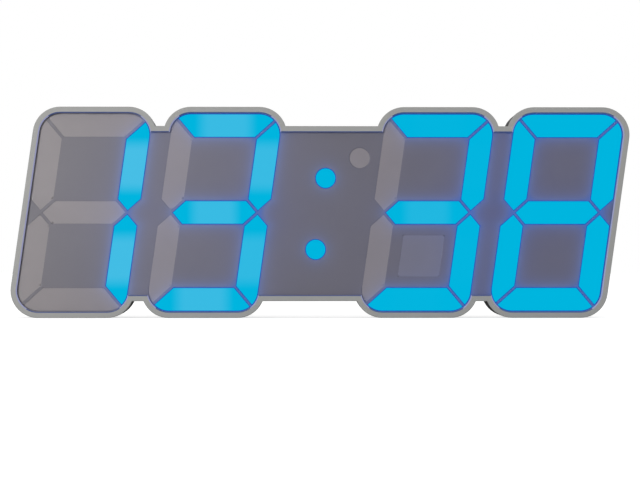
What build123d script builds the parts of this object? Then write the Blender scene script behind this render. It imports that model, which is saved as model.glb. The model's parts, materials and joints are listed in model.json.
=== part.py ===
from build123d import *
from itertools import pairwise
import math
import os

# Sizes are in millimetres and angles in degrees. X runs to the right as the
# clock is read, Y from the face towards the back, and Z up.

# Overall form: four slanted, rounded lobes, one round each digit, and a band
body_height = 102.4
body_depth = 24.0
slant_angle = 8.0
lobe_width = 60.1
lobe_corner_radius = 13.3
digit_pitch = 63.2
centre_pitch = 103.5
band_top_step = 9.3
band_bottom_step = 8.1

# Clearances shared by all pieces
fit_clearance = 0.1
running_clearance = 0.05
seat_clearance = 0.02
cut_overrun = 1.0

# Front bezel
rim_width = 2.5
rim_edge_bevel = 0.3
rim_inner_bevel_width = 0.5
rim_inner_bevel_depth = 0.8
lip_thickness = 1.2
skirt_wall = 1.6
skirt_depth = 3.6
snap_ridge_height = 0.4
snap_ridge_width = 0.4
snap_ridge_setback = 0.2

# Front panel
panel_thickness = 1.0

# Digits and their bars
shown_digits = "1338"
lit_bars = {"1": "bc", "3": "abcdg", "8": "abcdefg"}
digit_margin = 3.55
bar_width = 10.7
bar_height = 10.9
bar_gap = 1.6
bar_tip_radius = 0.2
diffuser_thickness = 2.0
diffuser_ledge = 1.0

# Round dots and the sensor window
colon_dot_diameter = 9.4
colon_upper_rise = 16.7
colon_lower_drop = 18.0
alarm_dot_diameter = 9.75
alarm_dot_offset = 15.2
alarm_dot_rise = 26.5
sensor_window_side = 20.0
sensor_window_corner = 0.8
sensor_window_digit = 2

# Light baffle
baffle_web = 1.2
baffle_wall = 1.2
baffle_boss_radius = 3.6

# Main board and its lamps
board_thickness = 1.6
board_edge_gap = 0.3
lamp_side = 5.0
lamp_height = 1.6
lamp_lens_radius = 2.0
lamp_lens_depth = 0.3
lamp_spread = 16.0

# Screws
case_screw_radius = 1.25
case_screw_head_radius = 2.3
case_screw_head_height = 1.6
case_screw_recess = 2.4
screw_tip_gap = 1.6
board_screw_head_height = 1.6
screw_slot_width = 0.6
screw_slot_depth = 0.7
screw_hole_gap = 0.25
screw_edge_distance = 6.8

# Rear cover, and the room between it and the board
rear_space = 9.2
cover_inset = 0.3
cover_wall = 1.8
back_plate_thickness = 2.0
back_edge_bevel = 1.0
cover_boss_wall = 1.4

# Hanging keyholes
keyhole_spread = 150.0
keyhole_height_share = 0.72
keyhole_head_radius = 4.0
keyhole_slot_radius = 2.0
keyhole_slot_length = 7.0
keyhole_pocket_depth = 3.0
pocket_wall = 1.2

# Stand feet
foot_width = 16.0
foot_thickness = 4.0
foot_reach = 44.0
foot_hinge_height = 10.0
foot_side_gap = 0.5
foot_floor_gap = 0.4
foot_stop_gap = 0.2
foot_end_gap = 1.0
foot_thumb_radius = 4.5
foot_thumb_depth = 1.2
foot_tub_wall = 1.5
foot_pin_radius = 1.0
tip_pad_thickness = 1.0
tip_pad_length = 8.0
tip_pad_margin = 0.5

# Base pads under the lobes
base_pad_length = 24.0
base_pad_width = 8.0
base_pad_seat = 0.5
base_pad_setback = 2.0

# Buttons on the back
button_names = ("set", "up", "down", "alarm")
button_height_share = 0.7
button_pitch = 14.0
button_radius = 3.5
button_gap = 0.2
button_stand_out = 1.2
button_edge_round = 0.5
button_flange_radius = 4.4
button_flange_thickness = 0.9
button_flange_gap = 0.2
button_stem_radius = 1.8
switch_side = 6.0
switch_height = 3.5
switch_cavity_radius = 2.4
switch_cavity_floor = 1.0
switch_cavity_depth = 1.4
switch_top_gap = 0.15
plunger_radius = 1.7
plunger_foot_radius = 2.2
plunger_foot_thickness = 0.6
plunger_foot_gap = 0.2
plunger_height = 5.0

# Coin cell, its holder and its door
cell_shift = 17.6
cell_height_share = 0.35
cell_radius = 10.0
cell_thickness = 3.2
cell_side_gap = 0.2
holder_side = 24.0
holder_floor = 1.0
holder_step = 0.3
clip_width = 5.0
clip_thickness = 0.3
door_width = 36.0
door_height = 26.0
door_shift = 4.0
door_thickness = 1.2
door_ledge = 2.0
door_corner_radius = 2.0
door_grip_count = 3
door_grip_length = 10.0
door_grip_width = 1.0
door_grip_depth = 0.5
door_grip_pitch = 3.0
door_grip_shift = 6.0
door_screw_edge = 5.0
door_screw_radius = 0.95
door_screw_head_radius = 1.8
door_screw_head_height = 0.6
door_screw_length = 5.0
door_boss_radius = 2.6

# USB inlet
usb_shift = -12.6
usb_height_share = 0.156
usb_width = 8.9
usb_thickness = 3.2
usb_mouth_setback = 0.2
usb_wall = 0.3
usb_corner_radius = 1.55
usb_base_length = 2.5
usb_tongue_width = 6.7
usb_tongue_thickness = 0.7
usb_tongue_setback = 0.8
usb_way_width = 13.0
usb_way_height = 7.4
usb_way_corner = 2.4

# Parts soldered to the back of the board
controller_shift = -3.0
controller_height_share = 0.43
controller_side = 10.0
controller_height = 1.5
controller_leads = 11
controller_lead_pitch = 0.8
driver_shift = 15.0
driver_height_share = 0.47
driver_width = 7.5
driver_length = 12.8
driver_body_height = 2.3
driver_leads = 9
driver_lead_pitch = 1.27
chip_lift = 0.25
lead_width = 0.35
lead_reach = 1.0
lead_height = 0.5
crystal_height_share = 0.55
crystal_length = 11.0
crystal_width = 4.6
crystal_height = 3.6
buzzer_shift = -21.6
buzzer_height_share = 0.43
buzzer_radius = 6.0
buzzer_height = 6.5
buzzer_hole_radius = 1.2
buzzer_hole_depth = 1.0
capacitor_shift = -31.6
capacitor_pitch = 8.0
capacitor_height_share = 0.195
capacitor_count = 2
capacitor_radius = 3.15
capacitor_height = 7.0
capacitor_base_side = 6.6
capacitor_base_height = 0.8
resistor_length = 2.0
resistor_width = 1.25
resistor_height = 0.5
resistor_pitch = 2.6
resistor_count = 7
resistor_setback = 6.0
thermistor_shift = -12.0
thermistor_height_share = 0.176
thermistor_radius = 1.8
thermistor_lead_radius = 0.3
thermistor_lead_length = 4.0
thermistor_lead_pitch = 2.0

# Sensors on the front of the board, behind the sensor window
receiver_width = 6.0
receiver_height = 6.8
receiver_thickness = 2.6
receiver_lens_radius = 2.2
receiver_lens_rise = 1.5
receiver_lens_round = 1.3
light_sensor_radius = 2.5
light_sensor_thickness = 2.0
sensor_spread = 9.0

# Vents in the back plate
vent_height_share = 0.3
vent_count = 6
vent_length = 18.0
vent_width = 1.6
vent_pitch = 4.0
sound_hole_radius = 0.8
sound_hole_ring = 3.6
sound_hole_count = 6

# Places worked out from the sizes above
slant = math.tan(math.radians(slant_angle))
slant_cosine = math.cos(math.radians(slant_angle))
mid_height = body_height / 2
inner_digit = centre_pitch / 2
outer_digit = inner_digit + digit_pitch
digit_centres = [-outer_digit, -inner_digit, inner_digit, outer_digit]
digit_half_width = lobe_width / 2 - digit_margin / slant_cosine
counter_half_width = digit_half_width - bar_width
node_half_width = digit_half_width - bar_width / 2
digit_bottom = digit_margin
digit_top = body_height - digit_margin
lower_counter = (digit_bottom + bar_height, mid_height - bar_height / 2)
upper_counter = (mid_height + bar_height / 2, digit_top - bar_height)
lower_counter_level = sum(lower_counter) / 2
upper_counter_level = sum(upper_counter) / 2

# Places of what is on the board and in the back plate
between_digits = (inner_digit + outer_digit) / 2
cell_place = (-inner_digit + cell_shift, cell_height_share * body_height)
usb_place = (inner_digit + usb_shift, usb_height_share * body_height)
controller_place = (controller_shift, controller_height_share * body_height)
crystal_place = (controller_shift, crystal_height_share * body_height)
buzzer_place = (inner_digit + buzzer_shift, buzzer_height_share * body_height)
thermistor_place = (thermistor_shift, thermistor_height_share * body_height)
driver_height = driver_height_share * body_height

# Depths behind the front of the rim, from front to back
face_depth = lip_thickness + panel_thickness
flange_back = face_depth + diffuser_thickness
web_back = flange_back + baffle_web
plate_front = body_depth - back_plate_thickness
board_back = plate_front - rear_space
board_front = board_back - board_thickness
usb_mouth = plate_front - usb_mouth_setback

# Insets from the outline of the rim
lip_inset = rim_width + rim_inner_bevel_width
panel_inset = skirt_wall + fit_clearance
groove_inset = panel_inset + snap_ridge_height
cover_inner_inset = cover_inset + cover_wall
core_inset = cover_inner_inset + fit_clearance
board_inset = cover_inner_inset + board_edge_gap

# The foot's slope brings its rubber tip to the ground
foot_hinge_depth = body_depth - foot_thickness / 2 - tip_pad_thickness
foot_drop = foot_hinge_height - tip_pad_thickness
foot_slope_run = foot_reach - tip_pad_length
foot_slope = math.acos(
    foot_thickness / 2 / math.hypot(foot_slope_run, foot_drop)
) - math.atan2(foot_slope_run, foot_drop)
total_depth = foot_hinge_depth + foot_reach
front_y = -total_depth / 2


def slanted(across, height):
    """A point of the slanted face, from its place across at mid height."""
    return (across + (height - mid_height) * slant, height)


def slanted_box(left, right, low, high):
    """A box that leans with the digits."""
    corners = [
        slanted(left, low),
        slanted(right, low),
        slanted(right, high),
        slanted(left, high),
    ]
    return Polygon(*corners)


def at_depth(sketch, depth):
    """Stand a sketch upright, a given depth behind the front of the rim."""
    plane = Plane(origin=(0, front_y + depth, 0), x_dir=(1, 0, 0), z_dir=(0, -1, 0))
    return plane * sketch


def slab(sketch, front, back):
    """The solid of a sketch between two depths."""
    return extrude(at_depth(sketch, front), amount=back - front, dir=(0, 1, 0))


def disc(place, radius):
    """A round sketch at a place on the face."""
    return Pos(*place) * Circle(radius)


def box_at(place, width, height):
    """A level rectangle centred at a place on the face."""
    return Pos(*place) * Rectangle(width, height)


def centred(index, count, pitch):
    """Place of one item in a row that is centred on zero."""
    return (index - (count - 1) / 2) * pitch


def group(pieces):
    """Separate solids that share one node."""
    return Compound([solid for piece in pieces for solid in piece.solids()])


def lobe(centre, inset):
    """The rounded, slanted outline round one digit."""
    across = lobe_width / 2 - inset / slant_cosine
    box = slanted_box(centre - across, centre + across, inset, body_height - inset)
    return fillet(box.vertices(), lobe_corner_radius - inset)


def band(inset):
    """The slanted band that joins the lobes."""
    low = band_bottom_step + inset
    high = body_height - band_top_step - inset
    return slanted_box(digit_centres[0], digit_centres[-1], low, high)


def outline_pieces(inset):
    """The band and the four lobes, each by itself."""
    return [band(inset)] + [lobe(centre, inset) for centre in digit_centres]


def outline(inset):
    """The outline of the whole face, drawn in by an inset."""
    first, *others = outline_pieces(inset)
    return first + others


def ring(outer_inset, inner_inset):
    """The strip of the face between two insets."""
    return outline(outer_inset) - outline(inner_inset)


def bevelled_slab(front_inset, front, back_inset, back):
    """The face's outline, growing or shrinking from one depth to another."""
    pairs = zip(outline_pieces(front_inset), outline_pieces(back_inset))
    pieces = [
        loft([at_depth(start, front), at_depth(end, back)], ruled=True)
        for start, end in pairs
    ]
    return pieces[0] + pieces[1:]


def bar_outlines(centre):
    """The seven bars of a digit as plain polygons, and the lines between them."""
    left, right = centre - digit_half_width, centre + digit_half_width
    inner_left, inner_right = centre - counter_half_width, centre + counter_half_width
    node_left = slanted(centre - node_half_width, mid_height)
    node_right = slanted(centre + node_half_width, mid_height)
    top_left, top_right = slanted(left, digit_top), slanted(right, digit_top)
    top_left_in = slanted(inner_left, upper_counter[1])
    top_right_in = slanted(inner_right, upper_counter[1])
    up_left, up_right = slanted(left, upper_counter[0]), slanted(right, upper_counter[0])
    up_left_in = slanted(inner_left, upper_counter[0])
    up_right_in = slanted(inner_right, upper_counter[0])
    down_left, down_right = slanted(left, lower_counter[1]), slanted(right, lower_counter[1])
    down_left_in = slanted(inner_left, lower_counter[1])
    down_right_in = slanted(inner_right, lower_counter[1])
    low_left, low_right = slanted(left, digit_bottom), slanted(right, digit_bottom)
    low_left_in = slanted(inner_left, lower_counter[0])
    low_right_in = slanted(inner_right, lower_counter[0])
    outlines = {
        "a": [top_left_in, top_right_in, top_right, top_left],
        "b": [node_right, up_right, top_right, top_right_in, up_right_in],
        "c": [node_right, down_right_in, low_right_in, low_right, down_right],
        "d": [low_left, low_right, low_right_in, low_left_in],
        "e": [node_left, down_left, low_left, low_left_in, down_left_in],
        "f": [node_left, up_left_in, top_left_in, top_left, up_left],
        "g": [node_left, down_left_in, down_right_in, node_right, up_right_in, up_left_in],
    }
    corner_lines = [
        (top_left_in, top_left),
        (top_right_in, top_right),
        (low_left_in, low_left),
        (low_right_in, low_right),
    ]
    left_lines = [(node_left, end) for end in (up_left, up_left_in, down_left, down_left_in)]
    right_lines = [(node_right, end) for end in (up_right, up_right_in, down_right, down_right_in)]
    return outlines, corner_lines + left_lines + right_lines


def gap_strip(start, end, shrink):
    """The gap along one line between bars."""
    start, end = Vector(*start), Vector(*end)
    along = (end - start).normalized()
    side = Vector(-along.Y, along.X) * (bar_gap / 2 + shrink)
    start, end = start - along * bar_gap, end + along * bar_gap
    return Polygon(start - side, end - side, end + side, start + side)


def digit_face(centre, shrink):
    """The figure eight that holds a digit's bars, each bar drawn in by shrink."""
    across = digit_half_width - shrink / slant_cosine
    low, high = digit_bottom + shrink, digit_top - shrink
    face = slanted_box(centre - across, centre + across, low, high)
    face = fillet(face.vertices(), lobe_corner_radius - digit_margin - shrink)
    return face - [counter_box(centre, rows, -shrink) for rows in (lower_counter, upper_counter)]


def counter_box(centre, rows, inset):
    """The closed space in the upper or lower half of a digit."""
    across = counter_half_width - inset / slant_cosine
    return slanted_box(centre - across, centre + across, rows[0] + inset, rows[1] - inset)


def bars(centre, shrink):
    """The seven bars of a digit, by letter, each drawn in by shrink."""
    outlines, lines = bar_outlines(centre)
    face = digit_face(centre, shrink)
    strips = [gap_strip(start, end, shrink) for start, end in lines]
    return {letter: (Polygon(*points) & face) - strips for letter, points in outlines.items()}


def all_bars(shrink):
    """Every bar of every digit."""
    return [bar for centre in digit_centres for bar in bars(centre, shrink).values()]


def dot_places():
    """Centres and diameters of the two colon dots and the alarm dot."""
    upper = slanted(0, mid_height + colon_upper_rise)
    lower = slanted(0, mid_height - colon_lower_drop)
    alarm = slanted(alarm_dot_offset, mid_height + alarm_dot_rise)
    return [(upper, colon_dot_diameter), (lower, colon_dot_diameter), (alarm, alarm_dot_diameter)]


def dots(shrink):
    """The three round dots, each drawn in by shrink."""
    return [disc(place, diameter / 2 - shrink) for place, diameter in dot_places()]


def sensor_window_outline(inset):
    """The slanted square in the lower counter of one digit."""
    centre = digit_centres[sensor_window_digit]
    across = sensor_window_side / 2 - inset / slant_cosine
    rise = sensor_window_side / 2 - inset
    low, high = lower_counter_level - rise, lower_counter_level + rise
    return slanted_box(centre - across, centre + across, low, high)


def case_screw_places():
    """Screws from the back, one in each upper counter and two low ones between digits."""
    upper = [slanted(centre, upper_counter_level) for centre in digit_centres]
    low = band_bottom_step + screw_edge_distance
    return upper + [slanted(-between_digits, low), slanted(between_digits, low)]


def board_screw_places():
    """Screws that hold the board, in three lower counters and above and below the colon."""
    counters = [centre for index, centre in enumerate(digit_centres) if index != sensor_window_digit]
    low = band_bottom_step + screw_edge_distance
    high = body_height - band_top_step - screw_edge_distance
    return [slanted(centre, lower_counter_level) for centre in counters] + [
        slanted(0, low),
        slanted(0, high),
    ]


def front_bezel():
    """The grey ring round the face, with a bevelled lip and a snap ridge inside its skirt."""
    shell = bevelled_slab(rim_edge_bevel, 0, 0, rim_edge_bevel)
    shell += slab(outline(0), rim_edge_bevel, skirt_depth)
    mouth = slab(outline(rim_width), -cut_overrun, 0)
    mouth += bevelled_slab(rim_width, 0, lip_inset, rim_inner_bevel_depth)
    mouth += slab(outline(lip_inset), rim_inner_bevel_depth, lip_thickness)
    cavity = slab(outline(skirt_wall), lip_thickness, skirt_depth + cut_overrun)
    ridge_back = skirt_depth - snap_ridge_setback
    ridge = ring(skirt_wall / 2, skirt_wall + snap_ridge_height)
    return shell - mouth - cavity + slab(ridge, ridge_back - snap_ridge_width, ridge_back)


def front_panel():
    """The smoked lens behind the lip."""
    return slab(outline(panel_inset), lip_thickness, face_depth)


def digit_diffusers(index, lit):
    """The lit or the dark bars of one digit."""
    shown = lit_bars[shown_digits[index]]
    shapes = bars(digit_centres[index], fit_clearance + bar_tip_radius)
    chosen = [shape for letter, shape in shapes.items() if (letter in shown) == lit]
    rounded = [offset(shape, bar_tip_radius) for shape in chosen]
    return group([slab(shape, face_depth, flange_back) for shape in rounded])


def dot_diffusers(chosen):
    """The round diffusers of the chosen dots."""
    return group([slab(shape, face_depth, flange_back) for shape in chosen])


def sensor_window():
    """The slanted square pane in front of the sensors."""
    pane = sensor_window_outline(fit_clearance)
    pane = fillet(pane.vertices(), sensor_window_corner)
    return slab(pane, face_depth, flange_back)


def baffle_coring():
    """The spaces cored out of the back of the baffle, clear of wells and bosses."""
    margin = baffle_wall / 2
    counters = [
        counter_box(centre, rows, margin)
        for centre in digit_centres
        for rows in (lower_counter, upper_counter)
    ]
    low = band_bottom_step + core_inset + baffle_wall
    high = body_height - band_top_step - core_inset - baffle_wall
    half_span = digit_half_width + margin
    edges = [(left + half_span, right - half_span) for left, right in pairwise(digit_centres)]
    spaces = counters + [slanted_box(left, right, low, high) for left, right in edges]
    tubes = dots(diffuser_ledge - baffle_wall)
    tubes += [sensor_window_outline(diffuser_ledge - baffle_wall)]
    places = case_screw_places() + board_screw_places()
    bosses = [disc(place, baffle_boss_radius) for place in places]
    return spaces[0] + spaces[1:] - tubes - bosses


def baffle_flange(pockets):
    """The front of the baffle, with a groove round its edge for the bezel's snap ridge."""
    groove_back = skirt_depth - snap_ridge_setback + fit_clearance
    groove_front = groove_back - snap_ridge_width - 2 * fit_clearance
    whole, grooved = outline(panel_inset) - pockets, outline(groove_inset) - pockets
    front = slab(whole, face_depth, groove_front)
    return front + [slab(grooved, groove_front, groove_back), slab(whole, groove_back, flange_back)]


def light_baffle():
    """The frame with a pocket and a light well for every diffuser, and screw bosses behind."""
    pockets = all_bars(0) + dots(0) + [sensor_window_outline(0)]
    wells = all_bars(diffuser_ledge) + dots(diffuser_ledge)
    wells += [sensor_window_outline(diffuser_ledge)]
    places = case_screw_places() + board_screw_places()
    pilots = [disc(place, case_screw_radius + seat_clearance) for place in places]
    web = slab(outline(core_inset) - wells, flange_back, web_back)
    walls = slab(outline(core_inset) - wells - baffle_coring() - pilots, web_back, board_front)
    return baffle_flange(pockets) + web + walls


def lamp_places():
    """Two lamps behind every bar and one behind every dot."""
    half_spread = lamp_spread / 2
    bar_levels = [digit_bottom + bar_height / 2, mid_height, digit_top - bar_height / 2]
    upright_levels = [sum(bar_levels[:2]) / 2, sum(bar_levels[1:]) / 2]
    places = [place for place, diameter in dot_places()]
    for centre in digit_centres:
        for level in bar_levels:
            places += [slanted(centre + step, level) for step in (-half_spread, half_spread)]
        for level in upright_levels:
            for across in (centre - node_half_width, centre + node_half_width):
                places += [slanted(across, level + step) for step in (-half_spread, half_spread)]
    return places


def segment_lamps():
    """The square lamps soldered to the front of the board."""
    lamp_front = board_front - lamp_height
    lamps = []
    for place in lamp_places():
        square = box_at(place, lamp_side, lamp_side)
        back = slab(square, lamp_front + lamp_lens_depth, board_front)
        rim = square - disc(place, lamp_lens_radius)
        lamps.append(back + slab(rim, lamp_front, lamp_front + lamp_lens_depth))
    return group(lamps)


def main_board():
    """The circuit board, cut to the outline of the face."""
    places = case_screw_places() + board_screw_places()
    holes = [disc(place, case_screw_radius + screw_hole_gap) for place in places]
    return slab(outline(board_inset) - holes, board_front, board_back)


def screw(place, head_back, head_height, tip):
    """A slotted pan-head screw that points towards the face."""
    seat = head_back - head_height
    body = slab(disc(place, case_screw_head_radius), seat, head_back)
    body += slab(disc(place, case_screw_radius), tip, head_back - head_height / 2)
    slot = box_at(place, case_screw_head_radius * 2 + cut_overrun, screw_slot_width)
    return body - slab(slot, head_back - screw_slot_depth, head_back + cut_overrun)


def case_screws():
    """Screws from the back cover through the board into the baffle."""
    head_back = body_depth - case_screw_recess + case_screw_head_height
    tip = web_back + screw_tip_gap
    return group([screw(place, head_back, case_screw_head_height, tip) for place in case_screw_places()])


def board_screws():
    """Screws that hold the board against the baffle."""
    head_back = board_back + board_screw_head_height
    tip = web_back + screw_tip_gap
    return group([screw(place, head_back, board_screw_head_height, tip) for place in board_screw_places()])


def foot_centres():
    """The feet stand under the two outer lobes."""
    return [slanted(centre, foot_hinge_height)[0] for centre in (-outer_digit, outer_digit)]


def foot_recess_rows():
    """Lowest and highest edge of the recess that a folded foot lies in."""
    below_axis = tip_pad_thickness + foot_thickness / 2
    sweep = below_axis * math.tan(foot_slope) + foot_thickness / 2 / math.cos(foot_slope)
    low = foot_hinge_height - sweep - foot_stop_gap
    folded_length = foot_reach * math.cos(foot_slope) + foot_hinge_height * math.sin(foot_slope)
    return low, foot_hinge_height + folded_length + foot_end_gap


def foot_recess_floor():
    """Depth of the floor of a foot's recess."""
    return foot_hinge_depth - foot_thickness / 2 - foot_floor_gap


def foot_recess_outline(centre, margin):
    """The recess of one foot, seen from behind, with a margin round it."""
    low, high = foot_recess_rows()
    half_width = foot_width / 2 + foot_side_gap
    place = (centre, (low + high) / 2)
    return box_at(place, 2 * (half_width + margin), high - low + 2 * margin)


def foot_pin_length():
    """The pin spans the recess and both its side walls."""
    return foot_width + 2 * foot_side_gap + 2 * foot_tub_wall


def along_x(radius, centre, length):
    """A round bar along X on the foot's hinge axis."""
    plane = Plane.YZ.offset(centre - length / 2)
    axis_place = (front_y + foot_hinge_depth, foot_hinge_height)
    return extrude(plane * disc(axis_place, radius), amount=length)


def stand_foot(centre):
    """One foot, folded out: a flat bar with a round knuckle and a flat under its tip."""
    half = foot_thickness / 2
    slope_sine, slope_cosine = math.sin(foot_slope), math.cos(foot_slope)
    top_end = half / slope_cosine - foot_reach * math.tan(foot_slope)
    corners = [
        (-half * slope_sine, -half * slope_cosine),
        (foot_slope_run, -foot_drop),
        (foot_reach, -foot_drop),
        (foot_reach, top_end),
        (half * slope_sine, half * slope_cosine),
    ]
    profile = Polygon(*corners) + Circle(half)
    profile -= Circle(foot_pin_radius + running_clearance)
    plane = Plane.YZ.offset(centre - foot_width / 2)
    place = Pos(front_y + foot_hinge_depth, foot_hinge_height)
    return extrude(plane * (place * profile), amount=foot_width)


def foot_tip_pad(centre):
    """The rubber pad under a foot's tip."""
    front = foot_hinge_depth + foot_slope_run + tip_pad_margin
    back = foot_hinge_depth + foot_reach - tip_pad_margin
    place = (centre, tip_pad_thickness / 2)
    return slab(box_at(place, foot_width - 2 * tip_pad_margin, tip_pad_thickness), front, back)


def foot_hinge_pin(centre):
    """The steel pin of one foot."""
    return along_x(foot_pin_radius, centre, foot_pin_length())


def base_pad_front():
    """Depth at which the base pads start, behind the bezel's skirt."""
    return skirt_depth + base_pad_setback


def base_pad_shapes(clearance):
    """One pad under each lobe, reaching from the ground into its seat."""
    seat_top = cover_inset + base_pad_seat
    front = base_pad_front() - clearance
    back = base_pad_front() + base_pad_width + clearance
    width = base_pad_length + 2 * clearance
    shapes = []
    for centre in digit_centres:
        place = (slanted(centre, 0)[0], seat_top / 2)
        shapes.append(slab(box_at(place, width, seat_top), front, back))
    return shapes


def keyhole_places():
    """Centres of the two keyholes' round entries."""
    half_spread = keyhole_spread / 2
    height = keyhole_height_share * body_height
    return [(-half_spread, height), (half_spread, height)]


def keyhole_outline(place):
    """A round entry with a slot above it."""
    slot_end = (place[0], place[1] + keyhole_slot_length)
    slot_middle = (place[0], place[1] + keyhole_slot_length / 2)
    slot = box_at(slot_middle, 2 * keyhole_slot_radius, keyhole_slot_length)
    return disc(place, keyhole_head_radius) + slot + disc(slot_end, keyhole_slot_radius)


def keyhole_pocket(place, margin):
    """The closed pocket behind a keyhole, where the screw's head slides."""
    width = 2 * (keyhole_head_radius + margin)
    height = 2 * keyhole_head_radius + keyhole_slot_length + 2 * margin
    middle = (place[0], place[1] + keyhole_slot_length / 2)
    return box_at(middle, width, height)


def button_places():
    """Four buttons in a row across the middle of the back."""
    count = len(button_names)
    height = button_height_share * body_height
    return [(centred(index, count, button_pitch), height) for index in range(count)]


def button_cap(place):
    """A round cap with a flange that keeps it in, and a stem down to its switch."""
    flange_back = plate_front - button_flange_gap
    flange_front = flange_back - button_flange_thickness
    stem_front = board_back + plunger_height
    cap = slab(disc(place, button_radius), flange_front, body_depth + button_stand_out)
    cap = fillet(cap.faces().sort_by(Axis.Y)[-1].edges(), button_edge_round)
    cap += slab(disc(place, button_flange_radius), flange_front, flange_back)
    return cap + slab(disc(place, button_stem_radius), stem_front, flange_back)


def switch_cavity_back():
    """Depth of the roof of a switch's cavity."""
    return board_back + switch_cavity_floor + switch_cavity_depth


def switch_bodies():
    """The four switch housings on the board."""
    switches = []
    for place in button_places():
        body = slab(box_at(place, switch_side, switch_side), board_back, board_back + switch_height)
        cavity = slab(
            disc(place, switch_cavity_radius),
            board_back + switch_cavity_floor,
            switch_cavity_back(),
        )
        hole = slab(
            disc(place, plunger_radius + switch_top_gap),
            switch_cavity_back(),
            board_back + switch_height + cut_overrun,
        )
        switches.append(body - cavity - hole)
    return group(switches)


def switch_plunger(place):
    """The plunger of one switch, kept in by its wider foot."""
    foot_back = switch_cavity_back() - plunger_foot_gap
    foot = slab(disc(place, plunger_foot_radius), foot_back - plunger_foot_thickness, foot_back)
    return foot + slab(disc(place, plunger_radius), foot_back, board_back + plunger_height)


def holder_back():
    """Depth of the rim of the coin cell's holder."""
    return board_back + holder_floor + cell_thickness - holder_step


def cell_holder():
    """The square tray that the coin cell lies in."""
    tray = slab(box_at(cell_place, holder_side, holder_side), board_back, holder_back())
    well = disc(cell_place, cell_radius + cell_side_gap)
    return tray - slab(well, board_back + holder_floor, holder_back() + cut_overrun)


def coin_cell():
    """The coin cell that keeps the time."""
    front = board_back + holder_floor
    cell = slab(disc(cell_place, cell_radius), front, front + cell_thickness)
    return fillet(cell.faces().sort_by(Axis.Y)[-1].edges(), holder_step)


def cell_clip():
    """The sprung strap over the coin cell, with a leg down each side of the tray."""
    strap_front = board_back + holder_floor + cell_thickness
    strap_back = strap_front + clip_thickness
    half_span = holder_side / 2 + clip_thickness
    clip = slab(box_at(cell_place, 2 * half_span, clip_width), strap_front, strap_back)
    for side in (-1, 1):
        leg_place = (cell_place[0] + side * (half_span - clip_thickness / 2), cell_place[1])
        clip += slab(box_at(leg_place, clip_thickness, clip_width), board_back, strap_back)
    return clip


def door_place():
    """Centre of the battery door, shifted to leave room for its screw."""
    return (cell_place[0] + door_shift, cell_place[1])


def door_screw_place():
    """The door's screw stands near its right edge."""
    place = door_place()
    return (place[0] + door_width / 2 - door_screw_edge, place[1])


def door_outline(clearance):
    """The door's rounded outline, grown by a clearance."""
    width, height = door_width + 2 * clearance, door_height + 2 * clearance
    return Pos(*door_place()) * RectangleRounded(width, height, door_corner_radius)


def door_opening():
    """The way through the back plate to the coin cell, clear of the door's screw."""
    left = door_place()[0] - door_width / 2 + door_ledge
    right = door_screw_place()[0] - door_boss_radius - fit_clearance
    height = door_height - 2 * door_ledge
    return box_at(((left + right) / 2, cell_place[1]), right - left, height)


def battery_door():
    """The lift-off door over the coin cell, with a grooved grip."""
    door_front = body_depth - door_thickness
    door = slab(door_outline(0), door_front, body_depth)
    screw_place = door_screw_place()
    door -= slab(disc(screw_place, door_screw_radius + running_clearance), 0, body_depth)
    head_front = body_depth - door_screw_head_height
    door -= slab(disc(screw_place, door_screw_head_radius + fit_clearance), head_front, body_depth)
    for index in range(door_grip_count):
        groove_x = door_place()[0] - door_grip_shift + centred(index, door_grip_count, door_grip_pitch)
        groove = box_at((groove_x, cell_place[1]), door_grip_width, door_grip_length)
        door -= slab(groove, body_depth - door_grip_depth, body_depth + cut_overrun)
    return door


def battery_door_screw():
    """The small screw that keeps the door shut."""
    place = door_screw_place()
    head_front = body_depth - door_screw_head_height
    body = slab(disc(place, door_screw_head_radius), head_front, body_depth)
    body += slab(disc(place, door_screw_radius), body_depth - door_screw_length, body_depth)
    slot = box_at(place, screw_slot_width, door_screw_head_radius * 2 + cut_overrun)
    return body - slab(slot, body_depth - door_screw_head_height / 2, body_depth + cut_overrun)


def usb_outline(inset):
    """The rounded section of the USB shell."""
    width, height = usb_width - 2 * inset, usb_thickness - 2 * inset
    shape = RectangleRounded(width, height, usb_corner_radius - inset)
    return Pos(*usb_place) * shape


def usb_socket():
    """The metal shell of the inlet, standing on the board with its mouth to the back."""
    return slab(usb_outline(0) - usb_outline(usb_wall), board_back, usb_mouth)


def usb_contact_tongue():
    """The moulded base and tongue inside the shell."""
    base = slab(usb_outline(usb_wall + seat_clearance), board_back, board_back + usb_base_length)
    tongue = box_at(usb_place, usb_tongue_width, usb_tongue_thickness)
    return base + slab(tongue, board_back, usb_mouth - usb_tongue_setback)


def usb_way():
    """The opening in the back plate for the plug."""
    shape = RectangleRounded(usb_way_width, usb_way_height, usb_way_corner)
    return Pos(*usb_place) * shape


def leaded_package(place, width, length, height, leads, pitch, sides):
    """A moulded chip with a row of leads along two or four of its sides."""
    body = slab(box_at(place, width, length), board_back + chip_lift, board_back + height)
    shapes = []
    for index in range(leads):
        step = centred(index, leads, pitch)
        for side in (-1, 1):
            across = side * (width + lead_reach) / 2
            shapes.append(box_at((place[0] + across, place[1] + step), lead_reach, lead_width))
            if sides == 4:
                along = side * (length + lead_reach) / 2
                shapes.append(box_at((place[0] + step, place[1] + along), lead_width, lead_reach))
    return body + [slab(shape, board_back, board_back + lead_height) for shape in shapes]


def microcontroller():
    """The square chip that runs the clock."""
    return leaded_package(
        controller_place,
        controller_side,
        controller_side,
        controller_height,
        controller_leads,
        controller_lead_pitch,
        4,
    )


def driver_places():
    """The driver chips stand in pairs, on both sides of the gap between two digits."""
    middles = (-between_digits, between_digits)
    return [(middle + step, driver_height) for middle in middles for step in (-driver_shift, driver_shift)]


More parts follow.
